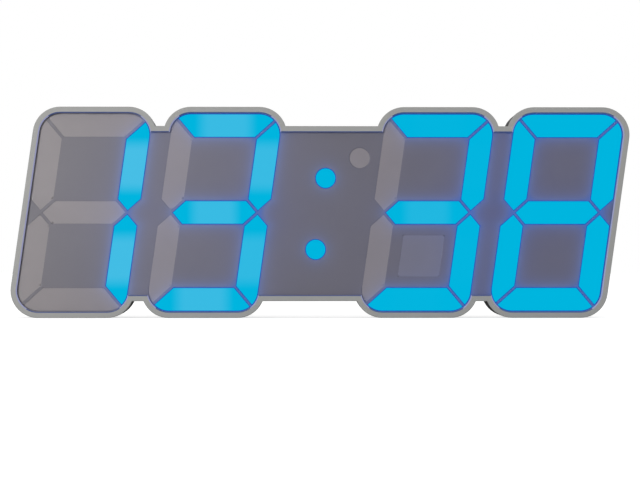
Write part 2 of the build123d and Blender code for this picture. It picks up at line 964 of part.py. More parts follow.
def led_drivers():
    """One driver chip for each digit."""
    chips = [
        leaded_package(
            place,
            driver_width,
            driver_length,
            driver_body_height,
            driver_leads,
            driver_lead_pitch,
            2,
        )
        for place in driver_places()
    ]
    return group(chips)


def clock_crystal():
    """The metal can of the clock crystal."""
    can = Pos(*crystal_place) * SlotOverall(crystal_length, crystal_width)
    return slab(can, board_back, board_back + crystal_height)


def buzzer():
    """The round alarm buzzer with its sound hole."""
    back = board_back + buzzer_height
    body = slab(disc(buzzer_place, buzzer_radius), board_back, back)
    hole = disc(buzzer_place, buzzer_hole_radius)
    return body - slab(hole, back - buzzer_hole_depth, back + cut_overrun)


def power_capacitors():
    """Two cans on square bases beside the inlet."""
    cans = []
    height = capacitor_height_share * body_height
    base_back = board_back + capacitor_base_height
    for index in range(capacitor_count):
        step = centred(index, capacitor_count, capacitor_pitch)
        place = (inner_digit + capacitor_shift + step, height)
        base = slab(box_at(place, capacitor_base_side, capacitor_base_side), board_back, base_back)
        cans.append(base + slab(disc(place, capacitor_radius), board_back, board_back + capacitor_height))
    return group(cans)


def chip_resistors():
    """A row of small resistors above each driver chip."""
    resistors = []
    row = driver_height + driver_length / 2 + resistor_setback
    for place in driver_places():
        for index in range(resistor_count):
            step = centred(index, resistor_count, resistor_pitch)
            shape = box_at((place[0] + step, row), resistor_width, resistor_length)
            resistors.append(slab(shape, board_back, board_back + resistor_height))
    return group(resistors)


def temperature_sensor():
    """A bead on two leads that stands off the board."""
    across, level = thermistor_place
    bead_centre = (across, front_y + board_back + thermistor_lead_length, level)
    sensor = Pos(*bead_centre) * Rot(90, 0, 0) * Sphere(thermistor_radius)
    for side in (-1, 1):
        lead = disc((across + side * thermistor_lead_pitch / 2, level), thermistor_lead_radius)
        sensor += slab(lead, board_back, board_back + thermistor_lead_length)
    return sensor


def sensor_place(side):
    """Place of a sensor behind the window, to the left or right of its centre."""
    centre, level = slanted(digit_centres[sensor_window_digit], lower_counter_level)
    return (centre + side * sensor_spread / 2, level)


def ir_receiver():
    """The remote control receiver, with its round lens."""
    place = sensor_place(-1)
    front = board_front - receiver_thickness
    body = slab(box_at(place, receiver_width, receiver_height), front, board_front)
    lens_front = front - receiver_lens_rise
    lens = slab(disc(place, receiver_lens_radius), lens_front, front + receiver_thickness / 2)
    lens = fillet(lens.faces().sort_by(Axis.Y)[0].edges(), receiver_lens_round)
    return body + lens


def light_sensor():
    """The round cell that dims the display in the dark."""
    front = board_front - light_sensor_thickness
    return slab(disc(sensor_place(1), light_sensor_radius), front, board_front)


def vent_slots():
    """Rows of slots that let the warm air out."""
    slots = []
    middle_height = vent_height_share * body_height
    for middle in (-between_digits, between_digits):
        place_x = slanted(middle, middle_height)[0]
        for index in range(vent_count):
            level = middle_height + centred(index, vent_count, vent_pitch)
            slots.append(Pos(place_x, level) * SlotOverall(vent_length, vent_width))
    return slots


def sound_holes():
    """A ring of small holes behind the buzzer."""
    holes = [disc(buzzer_place, sound_hole_radius)]
    for index in range(sound_hole_count):
        angle = 2 * math.pi * index / sound_hole_count
        x = buzzer_place[0] + sound_hole_ring * math.cos(angle)
        z = buzzer_place[1] + sound_hole_ring * math.sin(angle)
        holes.append(disc((x, z), sound_hole_radius))
    return holes


def cover_shell():
    """The walls and the bevelled back plate of the rear cover."""
    plate_edge = body_depth - back_edge_bevel
    walls = slab(ring(cover_inset, cover_inner_inset), flange_back, plate_front)
    plate = slab(outline(cover_inset), plate_front, plate_edge)
    return walls + [plate, bevelled_slab(cover_inset, plate_edge, cover_inset + back_edge_bevel, body_depth)]


def cover_bosses():
    """The tubes that carry the case screws, and the boss of the door's screw."""
    radius = case_screw_head_radius + fit_clearance + cover_boss_wall
    bosses = [slab(disc(place, radius), board_back, plate_front) for place in case_screw_places()]
    door_boss_front = body_depth - door_screw_length - cover_boss_wall
    bosses.append(slab(disc(door_screw_place(), door_boss_radius), door_boss_front, plate_front))
    return bosses


def cover_tubs():
    """The closed tubs behind the foot recesses and the keyholes."""
    tub_front = foot_recess_floor() - foot_tub_wall
    tubs = [
        slab(foot_recess_outline(centre, foot_tub_wall), tub_front, plate_front)
        for centre in foot_centres()
    ]
    pocket_front = plate_front - keyhole_pocket_depth - pocket_wall
    tubs += [
        slab(keyhole_pocket(place, fit_clearance + pocket_wall), pocket_front, plate_front)
        for place in keyhole_places()
    ]
    return tubs


def cover_cuts():
    """Everything that is cut out of the rear cover."""
    through = body_depth + cut_overrun
    head_radius = case_screw_head_radius + fit_clearance
    seat = body_depth - case_screw_recess
    cuts = []
    for place in case_screw_places():
        cuts.append(slab(disc(place, case_screw_radius + screw_hole_gap), board_front, through))
        cuts.append(slab(disc(place, head_radius), seat, through))
    low, high = foot_recess_rows()
    for centre in foot_centres():
        cuts.append(slab(foot_recess_outline(centre, 0), foot_recess_floor(), through))
        thumb = disc((centre, high), foot_thumb_radius)
        cuts.append(slab(thumb, body_depth - foot_thumb_depth, through))
        cuts.append(along_x(foot_pin_radius + seat_clearance, centre, foot_pin_length()))
    for place in keyhole_places():
        cuts.append(slab(keyhole_outline(place), plate_front - keyhole_pocket_depth, through))
        pocket = keyhole_pocket(place, fit_clearance)
        cuts.append(slab(pocket, plate_front - keyhole_pocket_depth, plate_front))
    for place in button_places():
        cuts.append(slab(disc(place, button_radius + button_gap), plate_front - cut_overrun, through))
    door_seat = body_depth - door_thickness
    cuts.append(slab(door_outline(fit_clearance), door_seat, through))
    cuts.append(slab(door_opening(), plate_front - cut_overrun, through))
    screw_hole = disc(door_screw_place(), door_screw_radius + running_clearance)
    cuts.append(slab(screw_hole, body_depth - door_screw_length - fit_clearance, through))
    cuts.append(slab(usb_way(), plate_front - cut_overrun, through))
    cuts += [slab(hole, plate_front - cut_overrun, through) for hole in vent_slots() + sound_holes()]
    return cuts + base_pad_shapes(0)


def rear_cover():
    """The black shell behind the bezel."""
    return cover_shell() + (cover_bosses() + cover_tubs()) - cover_cuts()


def make_parts():
    """Every node's solid, by name."""
    parts = {
        "front_bezel": front_bezel(),
        "front_panel": front_panel(),
        "light_baffle": light_baffle(),
        "colon_dots": dot_diffusers(dots(fit_clearance)[:2]),
        "alarm_dot": dot_diffusers(dots(fit_clearance)[2:]),
        "sensor_window": sensor_window(),
        "main_board": main_board(),
        "segment_lamps": segment_lamps(),
        "ir_receiver": ir_receiver(),
        "light_sensor": light_sensor(),
        "microcontroller": microcontroller(),
        "led_drivers": led_drivers(),
        "chip_resistors": chip_resistors(),
        "clock_crystal": clock_crystal(),
        "buzzer": buzzer(),
        "power_capacitors": power_capacitors(),
        "temperature_sensor": temperature_sensor(),
        "usb_socket": usb_socket(),
        "usb_contact_tongue": usb_contact_tongue(),
        "cell_holder": cell_holder(),
        "coin_cell": coin_cell(),
        "cell_clip": cell_clip(),
        "switch_bodies": switch_bodies(),
        "rear_cover": rear_cover(),
        "battery_door": battery_door(),
        "battery_door_screw": battery_door_screw(),
        "case_screws": case_screws(),
        "board_screws": board_screws(),
        "base_pads": group(base_pad_shapes(0)),
    }
    for index, digit in enumerate(shown_digits):
        name = f"digit_{index + 1}"
        parts[f"{name}_lit_bars"] = digit_diffusers(index, True)
        if len(lit_bars[digit]) < len(lit_bars["8"]):
            parts[f"{name}_dark_bars"] = digit_diffusers(index, False)
    for name, place in zip(button_names, button_places()):
        parts[f"{name}_button"] = button_cap(place)
        parts[f"{name}_plunger"] = switch_plunger(place)
    for name, centre in zip(("left", "right"), foot_centres()):
        parts[f"stand_foot_{name}"] = stand_foot(centre)
        parts[f"foot_hinge_pin_{name}"] = foot_hinge_pin(centre)
        parts[f"foot_tip_pad_{name}"] = foot_tip_pad(centre)
    return parts


os.makedirs("parts", exist_ok=True)
for node, solid in make_parts().items():
    export_step(solid, f"parts/{node}.step")
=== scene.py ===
import json
import math

import bmesh
import bpy
import numpy as np
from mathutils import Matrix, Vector

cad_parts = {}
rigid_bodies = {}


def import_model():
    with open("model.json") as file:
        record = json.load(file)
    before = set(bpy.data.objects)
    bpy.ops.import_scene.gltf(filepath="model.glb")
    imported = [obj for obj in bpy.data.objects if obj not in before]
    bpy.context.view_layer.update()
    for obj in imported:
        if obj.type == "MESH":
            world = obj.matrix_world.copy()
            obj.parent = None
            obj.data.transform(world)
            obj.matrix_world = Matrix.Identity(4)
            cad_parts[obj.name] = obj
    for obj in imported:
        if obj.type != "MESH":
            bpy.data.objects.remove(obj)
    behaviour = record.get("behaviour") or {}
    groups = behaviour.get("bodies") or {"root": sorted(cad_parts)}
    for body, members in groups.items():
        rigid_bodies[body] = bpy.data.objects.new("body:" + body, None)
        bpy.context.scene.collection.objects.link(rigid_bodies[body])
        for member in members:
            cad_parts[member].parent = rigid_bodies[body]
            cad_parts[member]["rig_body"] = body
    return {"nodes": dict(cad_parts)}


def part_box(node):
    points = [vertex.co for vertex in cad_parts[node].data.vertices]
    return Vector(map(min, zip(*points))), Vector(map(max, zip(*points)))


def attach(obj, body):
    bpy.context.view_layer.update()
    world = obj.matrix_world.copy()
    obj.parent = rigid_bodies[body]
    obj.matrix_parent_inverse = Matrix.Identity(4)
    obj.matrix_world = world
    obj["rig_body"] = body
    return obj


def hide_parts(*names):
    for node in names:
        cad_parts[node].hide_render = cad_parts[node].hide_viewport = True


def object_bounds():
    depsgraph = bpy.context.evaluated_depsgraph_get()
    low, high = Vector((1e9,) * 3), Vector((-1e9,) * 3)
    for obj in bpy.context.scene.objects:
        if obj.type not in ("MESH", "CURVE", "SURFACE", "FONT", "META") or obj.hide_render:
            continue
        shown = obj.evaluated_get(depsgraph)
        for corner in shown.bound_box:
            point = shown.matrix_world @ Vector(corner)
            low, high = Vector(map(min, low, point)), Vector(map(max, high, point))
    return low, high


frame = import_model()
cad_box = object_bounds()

# Sizes are in metres. A colour of three values has them from 0 to 255, as a picture shows them, and one
# of four is linear, with alpha
millimetre = 0.001
colour_top = 255
white = (1.0, 1.0, 1.0, 1.0)

# The standard curve between the values of a picture and linear light
curve_low_end = 0.04045
curve_slope = 12.92
curve_offset = 0.055
curve_power = 2.4

# Camera: low in front and a little left of the middle, turned a little to the right and up. Its shift
# brings the aim, a point in the plane of the rim, to the middle of the picture
camera_distance = 1.0
camera_across = -0.0175
camera_height = 0.025
camera_turn = math.radians(0.93)
camera_lift = math.radians(0.41)
aim_across = -0.0004
aim_height = 0.0378
field_of_view = math.radians(17.64)
camera_near = 0.01
camera_far = 20.0

# Light: a softbox at the upper left in front, one to the right behind, and an even room
key_place = (-0.62, -1.0, 0.24)
key_size = 0.34
key_power = 6.4
back_place = (0.7, 1.0, 0.8)
back_size = 0.6
back_power = 1.2
room_strength = 0.6
seen_strength = 1.0

# Floor and the white behind it
floor_reach = 6.0
floor_segments = 24
floor_lift = 0.64
floor_white = 0.78
floor_roughness = 0.9
floor_grain_scale = 3.0
floor_grain_share = 0.01

# Colours
bezel_colour = (152, 152, 150)
# The rim's inner bevel, the same grey part as the rim: painted darker as shade, with emission painted on
# it, a deep blue glow of the bars on the top and bottom bevels and a pale lavender highlight on the side
# bevels
bevel_painted_shade_colour = (84, 84, 92)
bevel_painted_glow_colour = (24, 50, 104)
side_bevel_painted_highlight_colour = (132, 135, 170)
panel_colour = (80, 76, 81)
unlit_colour = (119, 112, 110)
window_colour = (96, 94, 104)
lit_colour = (0, 182, 222)
# Paler middle of a lit bar: partly the LEDs' hot spot, partly a painted highlight of the light from the
# left
pale_colour = (78, 193, 230)
# Painted glow: the deep blue the baffle shines right round a lit bar
ring_painted_glow_colour = (16, 80, 180)
# Glow of the lit bars, painted as emission on the plastic under the lens: near by, and far off
halo_painted_glow_colour = (0, 64, 128)
haze_painted_glow_colour = (0, 13, 48)
cover_colour = (26, 26, 28)
button_colour = (64, 65, 68)
rubber_colour = (34, 34, 36)
steel_colour = (150, 150, 152)
nickel_colour = (188, 184, 172)
board_colour = (24, 70, 44)
track_colour = (40, 96, 60)
white_moulding_colour = (206, 204, 198)
dark_moulding_colour = (38, 38, 41)
chip_colour = (30, 30, 32)
capacitor_colour = (34, 40, 74)
resistor_colour = (40, 38, 42)
bead_colour = (118, 52, 34)
lamp_resin_colour = (232, 230, 222)
lamp_cup_colour = (214, 220, 226)

# Noise in the materials. A noise scale is in features a metre
noise_detail = 3.0
fine_detail = 2.0
tone_start = 0.35
tone_end = 0.65

# Moulded plastic and rubber
moulded_grain = 0.25 * millimetre
moulded_depth = 0.012 * millimetre
moulded_spread = 0.05
moulded_gloss = 0.4
moulded_cloud_scale = 60.0
moulded_uneven = 0.06
rim_roughness = 0.5
rim_spread = 0.015
rim_gloss = 0.35
cover_roughness = 0.6
cover_grain = 0.5 * millimetre
cover_depth = 0.03 * millimetre
cover_gloss = 0.12
button_roughness = 0.42
plunger_roughness = 0.4
rubber_roughness = 0.75
rubber_gloss = 0.2
moulding_roughness = 0.45
chip_roughness = 0.6
capacitor_roughness = 0.3
resistor_roughness = 0.4
bead_roughness = 0.25

# Metal with drawn marks
steel_roughness = 0.34
nickel_roughness = 0.24
marks_scale = 2500.0
marks_stretch = (1.0, 0.1, 1.0)
marks_darkest = 0.86
marks_palest = 1.1
marks_smoother = 0.08
marks_rougher = 0.1
marks_depth = 0.004 * millimetre

# Circuit board and lamps
mask_roughness = 0.32
track_scale = 160.0
track_randomness = 0.7
track_edge = 0.05
track_end = 0.09
track_depth = 0.02 * millimetre
track_strength = 0.4
lamp_roughness = 0.35
lamp_cloud_scale = 900.0
lamp_depth = 0.01 * millimetre

# Plastic under the lens
under_cloud_scale = 25.0
under_cloud_detail = 4.0
under_spread = 0.05
under_grain_scale = 3000.0
under_uneven = 0.04

# Lit bars. A strength says how far the middle of a bar goes to the pale colour, which is partly the LEDs'
# hot spot
# # and partly a painted highlight of the light from the left, so it is strongest in the left digits
digit_names = ("digit_1", "digit_2", "digit_3", "digit_4")
level_letters = "adg"
slant = math.tan(math.radians(8.0))
middle_share = 0.1
level_share = 0.2
edge_width = 0.1 * millimetre
edge_drop = 0.04 * millimetre
ring_width = 0.42 * millimetre
pocket_fill = 0.095 * millimetre
pale_strengths = {
    "digit_1": 0.85,
    "digit_1_segment_c": 0.74,
    "digit_2": 0.55,
    "digit_2_segment_c": 0.4,
    "digit_3": 0.01,
    "digit_3_segment_g": 0.2,
    "digit_4": 0.0,
}
pale_reach = 0.35
pale_soft = 0.18
lit_base = (0.0, 0.004, 0.006, 1.0)
lit_roughness = 0.6
ring_base = (0.01, 0.02, 0.03, 1.0)
ring_cloud_scale = 800.0
ring_spread = 0.08

# Sheen of the lens: its share at the shallowest look, and how fast it fades towards the front
lens_most = 0.6
lens_falloff = 4.0
lens_blend = 0.5
lens_gap = 0.04 * millimetre
lens_base = (0.02, 0.02, 0.025, 1.0)
lens_clear = (0.99, 0.99, 1.0, 1.0)
lens_grain_scale = 4000.0
lens_smoothest = 0.34
lens_roughest = 0.46

# Glow around the lit bars, painted on the plastic under the lens as emission: a halo close by and a haze
# further off. Depth behind the front counts many times, so that no painted glow shows in the gap behind
# the rim
halo_reach = 2.1 * millimetre
haze_reach = 14.0 * millimetre
depth_counts = 25.0
dot_glow_share = 0.55
halo_most = 1.15
halo_grid = 1.4 * millimetre
halo_splits = 9

# Shine of the plastic under the lens, and how far the painted glow mutes it, a painted darkening near the
# lit bars
panel_shine = 1.0
panel_roughness = 0.46
halo_mutes = 0.6
mutes_from = 0.5
haze_mutes = 0.45
haze_mutes_from = 1.5
haze_mutes_to = 4.5

# Rim: how deep its inner bevel lies, and how far a bevel turns sideways to count as a side one
rim_bevel_least = 0.6 * millimetre
rim_bevel_depth = 1.25 * millimetre
side_facing = 0.5

# How faces are told apart, and the least cosine with which a corner is widened
facing_front = -0.95
facing_flat = 0.999
wall_facing = 0.1
least_cosine = 0.5
same_depth = 0.02 * millimetre
weld = 0.001 * millimetre
flat_turn = math.radians(0.5)
smooth_turn = math.radians(28.0)


def linear(colour):
    """The linear colour, with alpha, of a colour from 0 to 255."""
    channels = []
    for value in colour:
        shown = value / colour_top
        if shown <= curve_low_end:
            channels.append(shown / curve_slope)
        else:
            channels.append(((shown + curve_offset) / (1 + curve_offset)) ** curve_power)
    return (*channels, 1.0)


def start_material(name):
    """A new node material with its Principled shader at plain settings."""
    material = bpy.data.materials.new(name)
    material.use_nodes = True
    nodes = material.node_tree.nodes
    return material, nodes, material.node_tree.links, nodes["Principled BSDF"]


def object_noise(nodes, links, scale, detail=noise_detail):
    """Noise laid through the object, with scale in features a metre."""
    place = nodes.new("ShaderNodeTexCoord")
    noise = nodes.new("ShaderNodeTexNoise")
    noise.inputs["Scale"].default_value = scale
    noise.inputs["Detail"].default_value = detail
    links.new(place.outputs["Object"], noise.inputs["Vector"])
    return noise


def ramp_between(nodes, links, value, low, high, start=tone_start, end=tone_end):
    """Colours from low to high as value goes from start to end."""
    ramp = nodes.new("ShaderNodeValToRGB")
    ramp.color_ramp.elements[0].position = start
    ramp.color_ramp.elements[1].position = end
    ramp.color_ramp.elements[0].color = low
    ramp.color_ramp.elements[1].color = high
    links.new(value, ramp.inputs["Fac"])
    return ramp.outputs["Color"]


def map_value(nodes, links, value, low, high, start=0.0, end=1.0):
    """Takes a value from the range start to end to the range low to high."""
    mapping = nodes.new("ShaderNodeMapRange")
    mapping.inputs["From Min"].default_value = start
    mapping.inputs["From Max"].default_value = end
    mapping.inputs["To Min"].default_value = low
    mapping.inputs["To Max"].default_value = high
    links.new(value, mapping.inputs["Value"])
    return mapping.outputs["Result"]


def add_bump(nodes, links, height, shader, depth, strength=1.0):
    """Bump of that depth, in metres."""
    bump = nodes.new("ShaderNodeBump")
    bump.inputs["Distance"].default_value = depth
    bump.inputs["Strength"].default_value = strength
    links.new(height, bump.inputs["Height"])
    links.new(bump.outputs["Normal"], shader.inputs["Normal"])


def shaded(colour, factor):
    """A linear colour made lighter or darker."""
    return (*[min(1.0, channel * factor) for channel in colour[:3]], 1.0)


def moulded(
    name,
    colour,
    roughness,
    grain=moulded_grain,
    depth=moulded_depth,
    spread=moulded_spread,
    gloss=moulded_gloss,
):
    """Moulded plastic or rubber: spark-eroded grain, faint cloudiness and uneven sheen."""
    material, nodes, links, shader = start_material(name)
    shader.inputs["Specular IOR Level"].default_value = gloss
    tone = linear(colour)
    darker, paler = shaded(tone, 1 - spread), shaded(tone, 1 + spread)
    clouds = object_noise(nodes, links, moulded_cloud_scale)
    links.new(
        ramp_between(nodes, links, clouds.outputs["Fac"], darker, paler),
        shader.inputs["Base Color"],
    )
    fine = object_noise(nodes, links, 1 / grain, fine_detail)
    smoother, rougher = roughness - moulded_uneven, roughness + moulded_uneven
    links.new(map_value(nodes, links, fine.outputs["Fac"], smoother, rougher), shader.inputs["Roughness"])
    add_bump(nodes, links, fine.outputs["Fac"], shader, depth)
    return material


def metal(name, colour, roughness):
    """Plated or bare metal with fine drawn marks."""
    material, nodes, links, shader = start_material(name)
    shader.inputs["Metallic"].default_value = 1.0
    place = nodes.new("ShaderNodeTexCoord")
    stretch = nodes.new("ShaderNodeMapping")
    stretch.inputs["Scale"].default_value = marks_stretch
    marks = nodes.new("ShaderNodeTexNoise")
    marks.inputs["Scale"].default_value = marks_scale
    links.new(place.outputs["Object"], stretch.inputs["Vector"])
    links.new(stretch.outputs["Vector"], marks.inputs["Vector"])
    tone = linear(colour)
    darker, paler = shaded(tone, marks_darkest), shaded(tone, marks_palest)
    links.new(
        ramp_between(nodes, links, marks.outputs["Fac"], darker, paler),
        shader.inputs["Base Color"],
    )
    smoother, rougher = roughness - marks_smoother, roughness + marks_rougher
    links.new(map_value(nodes, links, marks.outputs["Fac"], smoother, rougher), shader.inputs["Roughness"])
    add_bump(nodes, links, marks.outputs["Fac"], shader, marks_depth)
    return material


def circuit_board():
    """Green solder mask over darker glass fibre, with the copper tracks showing as paler lines."""
    material, nodes, links, shader = start_material("board_mask")
    shader.inputs["Roughness"].default_value = mask_roughness
    place = nodes.new("ShaderNodeTexCoord")
    tracks = nodes.new("ShaderNodeTexVoronoi")
    tracks.distance = "MANHATTAN"
    tracks.feature = "DISTANCE_TO_EDGE"
    tracks.inputs["Scale"].default_value = track_scale
    tracks.inputs["Randomness"].default_value = track_randomness
    links.new(place.outputs["Object"], tracks.inputs["Vector"])
    from_edge = tracks.outputs["Distance"]
    track, board = linear(track_colour), linear(board_colour)
    links.new(
        ramp_between(nodes, links, from_edge, track, board, track_edge, track_end),
        shader.inputs["Base Color"],
    )
    add_bump(nodes, links, from_edge, shader, track_depth, track_strength)
    return material


def lamp_plastic():
    """The milky cup of a lamp, yellower where its resin is."""
    material, nodes, links, shader = start_material("lamp_cup")
    shader.inputs["Roughness"].default_value = lamp_roughness
    resin, cup = linear(lamp_resin_colour), linear(lamp_cup_colour)
    clouds = object_noise(nodes, links, lamp_cloud_scale)
    links.new(ramp_between(nodes, links, clouds.outputs["Fac"], resin, cup), shader.inputs["Base Color"])
    add_bump(nodes, links, clouds.outputs["Fac"], shader, lamp_depth)
    return material


def smoked_lens():
    """The matte front sheet: clear from the front, with a soft sheen at a shallow look."""
    material, nodes, links, shader = start_material("smoked_lens")
    shader.inputs["Base Color"].default_value = lens_base
    fine = object_noise(nodes, links, lens_grain_scale, fine_detail)
    links.new(
        map_value(nodes, links, fine.outputs["Fac"], lens_smoothest, lens_roughest),
        shader.inputs["Roughness"],
    )
    clear = nodes.new("ShaderNodeBsdfTransparent")
    clear.inputs["Color"].default_value = lens_clear
    edge = nodes.new("ShaderNodeLayerWeight")
    edge.inputs["Blend"].default_value = lens_blend
    facing = nodes.new("ShaderNodeMath")
    facing.operation = "POWER"
    facing.inputs[1].default_value = lens_falloff
    links.new(edge.outputs["Facing"], facing.inputs[0])
    lens_share = nodes.new("ShaderNodeMath")
    lens_share.operation = "MULTIPLY"
    lens_share.inputs[1].default_value = lens_most
    links.new(facing.outputs["Value"], lens_share.inputs[0])
    mix = nodes.new("ShaderNodeMixShader")
    links.new(lens_share.outputs["Value"], mix.inputs["Fac"])
    links.new(clear.outputs["BSDF"], mix.inputs[1])
    links.new(shader.outputs["BSDF"], mix.inputs[2])
    links.new(mix.outputs["Shader"], nodes["Material Output"].inputs["Surface"])
    return material


def lit_face(name, strength, upright):
    """The face of a lit diffuser: ice blue, paler towards the middle of its length, partly the LEDs' hot
    spot and partly a painted highlight.
    """
    material, nodes, links, shader = start_material(name)
    shader.inputs["Base Color"].default_value = lit_base
    shader.inputs["Specular IOR Level"].default_value = 0.0
    shader.inputs["Roughness"].default_value = lit_roughness
    place = nodes.new("ShaderNodeTexCoord")
    split = nodes.new("ShaderNodeSeparateXYZ")
    links.new(place.outputs["Generated"], split.inputs["Vector"])
    from_middle = nodes.new("ShaderNodeMath")
    from_middle.operation = "SUBTRACT"
    from_middle.inputs[1].default_value = 1 / 2
    links.new(split.outputs["Z" if upright else "X"], from_middle.inputs[0])
    away = nodes.new("ShaderNodeMath")
    away.operation = "ABSOLUTE"
    links.new(from_middle.outputs["Value"], away.inputs[0])
    fade = nodes.new("ShaderNodeMapRange")
    fade.interpolation_type = "SMOOTHSTEP"
    fade.inputs["From Min"].default_value = pale_reach
    fade.inputs["From Max"].default_value = pale_reach - pale_soft
    fade.inputs["To Max"].default_value = strength
    links.new(away.outputs["Value"], fade.inputs["Value"])
    mix = nodes.new("ShaderNodeMix")
    mix.data_type = "RGBA"
    mix.inputs["A"].default_value = linear(lit_colour)
    mix.inputs["B"].default_value = linear(pale_colour)
    links.new(fade.outputs["Result"], mix.inputs["Factor"])
    links.new(mix.outputs["Result"], shader.inputs["Emission Color"])
    shader.inputs["Emission Strength"].default_value = 1.0
    return material


def painted_glow_ring():
    """The narrow ring of the baffle right round a lit diffuser, with a deep blue glow painted on it as
    emission.
    """
    material, nodes, links, shader = start_material("painted_glow_ring")
    shader.inputs["Base Color"].default_value = ring_base
    shader.inputs["Specular IOR Level"].default_value = 0.0
    clouds = object_noise(nodes, links, ring_cloud_scale)
    tone = linear(ring_painted_glow_colour)
    darker, paler = shaded(tone, 1 - ring_spread), shaded(tone, 1 + ring_spread)
    links.new(
        ramp_between(nodes, links, clouds.outputs["Fac"], darker, paler),
        shader.inputs["Emission Color"],
    )
    shader.inputs["Emission Strength"].default_value = 1.0
    return material


def behind_lens(name, colour):
    """Satin plastic under the lens, with the glow of the lit bars beside it painted on as emission."""
    material, nodes, links, shader = start_material(name)
    tone = linear(colour)
    darker, paler = shaded(tone, 1 - under_spread), shaded(tone, 1 + under_spread)
    clouds = object_noise(nodes, links, under_cloud_scale, under_cloud_detail)
    links.new(
        ramp_between(nodes, links, clouds.outputs["Fac"], darker, paler),
        shader.inputs["Base Color"],
    )
    smoother, rougher = panel_roughness - under_uneven, panel_roughness + under_uneven
    fine = object_noise(nodes, links, under_grain_scale, fine_detail)
    links.new(map_value(nodes, links, fine.outputs["Fac"], smoother, rougher), shader.inputs["Roughness"])
    near = nodes.new("ShaderNodeAttribute")
    near.attribute_name = "halo"
    wide = nodes.new("ShaderNodeAttribute")
    wide.attribute_name = "haze"
    # The shine is lowered where the painted glow is strong: painted shade near the lit bars
    muted = nodes.new("ShaderNodeMath")
    muted.operation = "MULTIPLY"
    least_shine = panel_shine * (1 - halo_mutes)
    links.new(
        map_value(nodes, links, near.outputs["Fac"], panel_shine, least_shine, mutes_from, halo_most),
        muted.inputs[0],
    )
    links.new(
        map_value(nodes, links, wide.outputs["Fac"], 1.0, 1 - haze_mutes, haze_mutes_from, haze_mutes_to),
        muted.inputs[1],
    )
    links.new(muted.outputs["Value"], shader.inputs["Specular IOR Level"])
    # The painted glow: emission in the bars' blue, as strong as the halo and haze written on the mesh
    glows = []
    for strength, tint in ((near, halo_painted_glow_colour), (wide, haze_painted_glow_colour)):
        scaled = nodes.new("ShaderNodeVectorMath")
        scaled.operation = "SCALE"
        scaled.inputs[0].default_value = linear(tint)[:3]
        links.new(strength.outputs["Fac"], scaled.inputs["Scale"])
        glows.append(scaled.outputs["Vector"])
    both = nodes.new("ShaderNodeVectorMath")
    both.operation = "ADD"
    links.new(glows[0], both.inputs[0])
    links.new(glows[1], both.inputs[1])
    links.new(both.outputs["Vector"], shader.inputs["Emission Color"])
    shader.inputs["Emission Strength"].default_value = 1.0
    return material


def painted_shade_and_light_bevel(name, glow):
    """The rim's inner bevel: the grey plastic painted darker as shade, with light painted on it as
    emission.
    """
    material = moulded(name, bevel_painted_shade_colour, rim_roughness, spread=rim_spread, gloss=rim_gloss)
    shader = material.node_tree.nodes["Principled BSDF"]
    shader.inputs["Emission Color"].default_value = linear(glow)
    shader.inputs["Emission Strength"].default_value = 1.0
    return material


def floor_material():
    """Pale floor: white to the camera, and still darkened by the shadow on it."""
    material, nodes, links, shader = start_material("floor_white")
    shader.inputs["Roughness"].default_value = floor_roughness
    shader.inputs["Specular IOR Level"].default_value = 0.0
    grain = object_noise(nodes, links, floor_grain_scale)
    pale = shaded(white, floor_white)
    links.new(
        ramp_between(nodes, links, grain.outputs["Fac"], shaded(pale, 1 - floor_grain_share), pale),
        shader.inputs["Base Color"],
    )
    rays = nodes.new("ShaderNodeLightPath")
    lift = nodes.new("ShaderNodeMath")
    lift.operation = "MULTIPLY"
    lift.inputs[1].default_value = floor_lift
    links.new(rays.outputs["Is Camera Ray"], lift.inputs[0])
    shader.inputs["Emission Color"].default_value = white
    links.new(lift.outputs["Value"], shader.inputs["Emission Strength"])
    return material


def islands(node):
    """The separate solids in a CAD node, each as a bmesh with its flat faces made whole."""
    whole = bmesh.new()
    whole.from_mesh(frame["nodes"][node].data)
    bmesh.ops.remove_doubles(whole, verts=whole.verts, dist=weld)
    whole.verts.ensure_lookup_table()
    seen = set()
    groups = []
    for start in whole.verts:
        if start.index in seen:
            continue
        seen.add(start.index)
        waiting = [start]
        members = []
        while waiting:
            vertex = waiting.pop()
            members.append(vertex.index)
            for edge in vertex.link_edges:
                other = edge.other_vert(vertex)
                if other.index not in seen:
                    seen.add(other.index)
                    waiting.append(other)
        groups.append(set(members))
    found = []
    for members in groups:
        part = whole.copy()
        part.verts.ensure_lookup_table()
        spare = [vertex for vertex in part.verts if vertex.index not in members]
        bmesh.ops.delete(part, geom=spare, context="VERTS")
        bmesh.ops.dissolve_limit(part, angle_limit=flat_turn, verts=part.verts, edges=part.edges)
        found.append(part)
    whole.free()
    return found


def front_faces(part):
    """The faces of a bmesh that look forward from its front plane."""
    front = min(vertex.co.y for vertex in part.verts)
    return [
        face
        for face in part.faces
        if face.normal.y < facing_front and abs(face.calc_center_median().y - front) < same_depth
    ]


def centre_of(part):
    """The middle of the box round a bmesh."""
    places = np.array([vertex.co for vertex in part.verts])
    return Vector((places.min(0) + places.max(0)) / 2)


def add_piece(name, part, materials, body):
    """Makes an object of a bmesh, smooth where it is round, which rides on a body."""
    mesh = bpy.data.meshes.new(name)
    for face in part.faces:
        face.smooth = abs(face.normal.y) < facing_flat
    part.to_mesh(mesh)
    part.free()
    for material in materials:
        mesh.materials.append(material)
    mesh.set_sharp_from_angle(angle=smooth_turn)
    piece = bpy.data.objects.new(name, mesh)
    bpy.context.scene.collection.objects.link(piece)
    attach(piece, body)
    return piece


